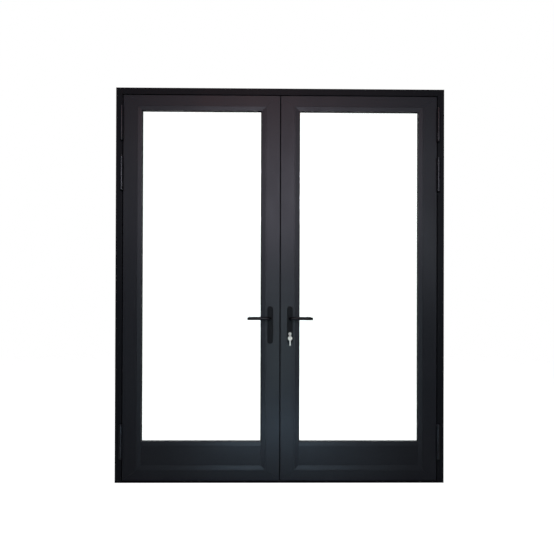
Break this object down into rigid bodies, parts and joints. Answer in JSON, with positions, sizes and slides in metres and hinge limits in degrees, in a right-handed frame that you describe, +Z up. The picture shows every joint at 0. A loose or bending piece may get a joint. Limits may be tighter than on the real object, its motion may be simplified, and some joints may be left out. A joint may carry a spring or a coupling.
{
  "type": "french doors",
  "caption": "Outward opening black aluminium french doors with kick panels, lever handles and a keyed lock, hung in their own frame with a low threshold.",
  "frame": {"origin": "middle of the unit's base on the floor, midway through the thickness of the leaves, with the levers reaching as far out as in", "axes": "+X to the right seen from outside, +Y from outside to inside, +Z up"},
  "size_m": [2, 0.17, 2.4],
  "materials": {
    "black_powder_coat": "satin powder coat, near black",
    "clear_glass": "clear float glass",
    "black_rubber": "matt",
    "black_nylon": "matt",
    "plain_aluminium": "mill finish",
    "black_hardware": "satin black",
    "black_hinge": "satin black",
    "zinc_plated_steel": "bright zinc",
    "nickel_plated_brass": "nickel plated, satin"
  },
  "bodies": {
    "frame": {"head": "black_powder_coat", "left_jamb": "black_powder_coat", "right_jamb": "black_powder_coat", "threshold": "black_powder_coat", "frame_seals": "black_rubber", "frame_corner_cleats": "plain_aluminium", "head_bolt_keeps": "black_nylon", "threshold_bolt_keeps": "zinc_plated_steel", "hinge_pins": "black_hinge", "hinge_frame_halves": "black_hinge"},
    "left_leaf": {"left_hinge_stile": "black_powder_coat", "left_meeting_stile": "black_powder_coat", "left_top_rail": "black_powder_coat", "left_bottom_rail": "black_powder_coat", "left_kick_panel": "black_powder_coat", "left_glazing_beads": "black_powder_coat", "left_glass_panes": "clear_glass", "left_pane_spacer": "plain_aluminium", "left_glazing_gaskets": "black_rubber", "left_setting_blocks": "black_nylon", "left_corner_cleats": "plain_aluminium", "left_meeting_seal": "black_rubber", "left_hinge_leaf_halves": "black_hinge", "left_outer_handle_plate": "black_hardware", "left_inner_handle_plate": "black_hardware", "left_gear_case": "zinc_plated_steel", "left_deadbolt_keep": "zinc_plated_steel"},
    "right_leaf": {"right_hinge_stile": "black_powder_coat", "right_meeting_stile": "black_powder_coat", "right_top_rail": "black_powder_coat", "right_bottom_rail": "black_powder_coat", "right_kick_panel": "black_powder_coat", "right_glazing_beads": "black_powder_coat", "right_glass_panes": "clear_glass", "right_pane_spacer": "plain_aluminium", "right_glazing_gaskets": "black_rubber", "right_setting_blocks": "black_nylon", "right_corner_cleats": "plain_aluminium", "right_meeting_seal": "black_rubber", "right_hinge_leaf_halves": "black_hinge", "right_outer_handle_plate": "black_hardware", "right_inner_handle_plate": "black_hardware", "right_lock_case": "zinc_plated_steel", "right_cylinder": "nickel_plated_brass"},
    "left_handle": {"left_outer_lever": "black_hardware", "left_inner_lever": "black_hardware", "left_spindle": "zinc_plated_steel"},
    "left_top_bolt": {"left_top_bolt": "zinc_plated_steel"},
    "left_bottom_bolt": {"left_bottom_bolt": "zinc_plated_steel"},
    "right_handle": {"right_outer_lever": "black_hardware", "right_inner_lever": "black_hardware", "right_spindle": "zinc_plated_steel"},
    "right_top_bolt": {"right_top_bolt": "zinc_plated_steel"},
    "right_bottom_bolt": {"right_bottom_bolt": "zinc_plated_steel"},
    "lock_key": {"right_cylinder_plug": "nickel_plated_brass", "key": "nickel_plated_brass"},
    "hanging_key": {"key_ring": "nickel_plated_brass", "spare_key": "nickel_plated_brass"},
    "deadbolt": {"right_deadbolt": "zinc_plated_steel"}
  },
  "joints": [
    {"name": "left_leaf_swing", "type": "hinge", "parent": "frame", "child": "left_leaf", "pos_m": [-0.9625, -0.041, 1.2], "axis": [0, 0, -1], "range_deg": [0, 170]},
    {"name": "left_handle_turn", "type": "hinge", "parent": "left_leaf", "child": "left_handle", "pos_m": [-0.06, 0, 0.998], "axis": [0, 1, 0], "range_deg": [0, 45]},
    {"name": "left_top_bolt_slide", "type": "slide", "parent": "left_leaf", "child": "left_top_bolt", "axis": [0, 0, 1], "range_m": [0, 0.02]},
    {"name": "left_bottom_bolt_slide", "type": "slide", "parent": "left_leaf", "child": "left_bottom_bolt", "axis": [0, 0, -1], "range_m": [0, 0.02]},
    {"name": "right_leaf_swing", "type": "hinge", "parent": "frame", "child": "right_leaf", "pos_m": [0.9625, -0.041, 1.2], "axis": [0, 0, 1], "range_deg": [0, 170]},
    {"name": "right_handle_turn", "type": "hinge", "parent": "right_leaf", "child": "right_handle", "pos_m": [0.06, 0, 0.998], "axis": [0, -1, 0], "range_deg": [0, 45]},
    {"name": "right_top_bolt_slide", "type": "slide", "parent": "right_leaf", "child": "right_top_bolt", "axis": [0, 0, 1], "range_m": [0, 0.02]},
    {"name": "right_bottom_bolt_slide", "type": "slide", "parent": "right_leaf", "child": "right_bottom_bolt", "axis": [0, 0, -1], "range_m": [0, 0.02]},
    {"name": "key_turn", "type": "hinge", "parent": "right_leaf", "child": "lock_key", "pos_m": [0.06, 0, 0.906], "axis": [0, 1, 0], "range_deg": [0, 360]},
    {"name": "deadbolt_slide", "type": "slide", "parent": "right_leaf", "child": "deadbolt", "axis": [-1, 0, 0], "range_m": [0, 0.02]},
    {"name": "hanging_key_swing", "type": "hinge", "parent": "lock_key", "child": "hanging_key", "pos_m": [0.06, -0.065, 0.8971], "axis": [0.7071, 0.7071, 0], "range_deg": [-30, 30]}
  ],
  "couplings": [
    {"joint": "left_top_bolt_slide", "follows": "left_handle_turn", "m_per_rad": 0.02546},
    {"joint": "left_bottom_bolt_slide", "follows": "left_handle_turn", "m_per_rad": 0.02546},
    {"joint": "right_top_bolt_slide", "follows": "right_handle_turn", "m_per_rad": 0.02546},
    {"joint": "right_bottom_bolt_slide", "follows": "right_handle_turn", "m_per_rad": 0.02546},
    {"joint": "key_turn", "follows": "deadbolt_slide", "rad_per_m": 314.15}
  ]
}
